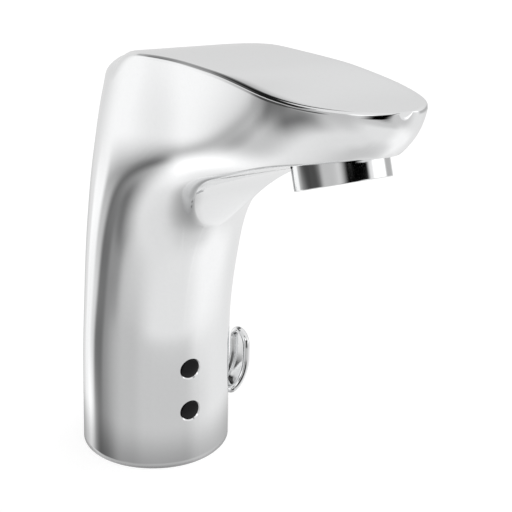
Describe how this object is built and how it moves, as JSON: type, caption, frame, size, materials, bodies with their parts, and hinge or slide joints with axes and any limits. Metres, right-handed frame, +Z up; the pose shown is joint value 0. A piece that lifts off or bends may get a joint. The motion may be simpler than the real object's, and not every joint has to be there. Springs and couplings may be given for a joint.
{
  "type": "basin sensor tap",
  "caption": "Deck-mounted sensor tap: flared column casting with flat-topped forward spout, twin sensor eyes, angled aerator and side temperature lever.",
  "frame": {"origin": "centre of the round base on the deck, at the mouth of the deck stud's thread", "axes": "+Z up the column, -Y along the spout towards the user, +X towards the side with the temperature lever"},
  "size_m": [0.0594, 0.1424, 0.138],
  "materials": {
    "polished_chrome": "mirror-polished chrome plate",
    "black_rubber": "matte moulded rubber",
    "stainless_steel": "turned stainless steel",
    "cast_brass": "machined brass",
    "white_plastic": "moulded acetal",
    "black_plastic": "moulded black plastic",
    "eye_window": "glossy infrared-passing window",
    "board_green": "solder-masked board",
    "emitter_clear": "clear moulded emitter",
    "cell_wrap": "plain shrink wrap"
  },
  "bodies": {
    "tap": {"body_casting": "polished_chrome", "base_gasket": "black_rubber", "body_screws": "stainless_steel", "mixing_block": "cast_brass", "inlet_filters": "stainless_steel", "hot_check_housing": "white_plastic", "hot_check_spring": "stainless_steel", "cold_check_housing": "white_plastic", "cold_check_spring": "stainless_steel", "mixing_cartridge": "white_plastic", "cartridge_nut": "cast_brass", "wall_bush": "white_plastic", "valve_gasket": "black_rubber", "valve_body": "white_plastic", "diaphragm": "black_rubber", "diaphragm_insert": "white_plastic", "solenoid_tube": "stainless_steel", "plunger_spring": "stainless_steel", "solenoid_coil": "black_plastic", "coil_frame": "stainless_steel", "valve_screws": "stainless_steel", "sensor_housing": "black_plastic", "upper_eye_lens": "eye_window", "lower_eye_lens": "eye_window", "circuit_board": "board_green", "infrared_emitter": "emitter_clear", "infrared_receiver": "eye_window", "battery_holder": "black_plastic", "battery_cells": "cell_wrap", "battery_contacts": "cast_brass", "battery_lid": "black_plastic", "water_tube": "white_plastic", "tube_o_rings": "black_rubber", "aerator_sleeve": "polished_chrome", "aerator_insert": "white_plastic", "aerator_seal": "black_rubber"},
    "lever": {"temperature_lever": "polished_chrome", "lever_screw": "stainless_steel", "drive_spindle": "stainless_steel", "mixing_spool": "cast_brass", "spool_o_rings": "black_rubber"},
    "valve_plunger": {"plunger": "stainless_steel"},
    "hot_poppet": {"hot_check_poppet": "black_plastic"},
    "cold_poppet": {"cold_check_poppet": "black_plastic"}
  },
  "joints": [
    {"name": "temperature_turn", "type": "hinge", "parent": "tap", "child": "lever", "pos_m": [0, -0.001, 0.0108], "axis": [1, 0, 0], "range_deg": [-45, 45]},
    {"name": "plunger_lift", "type": "slide", "parent": "tap", "child": "valve_plunger", "axis": [0, 0, 1], "range_m": [0, 0.0016], "stiffness_N_per_m": 400, "springref_m": -0.002, "deforming": ["plunger_spring"]},
    {"name": "hot_check_open", "type": "slide", "parent": "tap", "child": "hot_poppet", "axis": [0, 0, 1], "range_m": [0, 0.0015], "stiffness_N_per_m": 120, "springref_m": -0.0015, "deforming": ["hot_check_spring"]},
    {"name": "cold_check_open", "type": "slide", "parent": "tap", "child": "cold_poppet", "axis": [0, 0, 1], "range_m": [0, 0.0015], "stiffness_N_per_m": 120, "springref_m": -0.0015, "deforming": ["cold_check_spring"]}
  ]
}
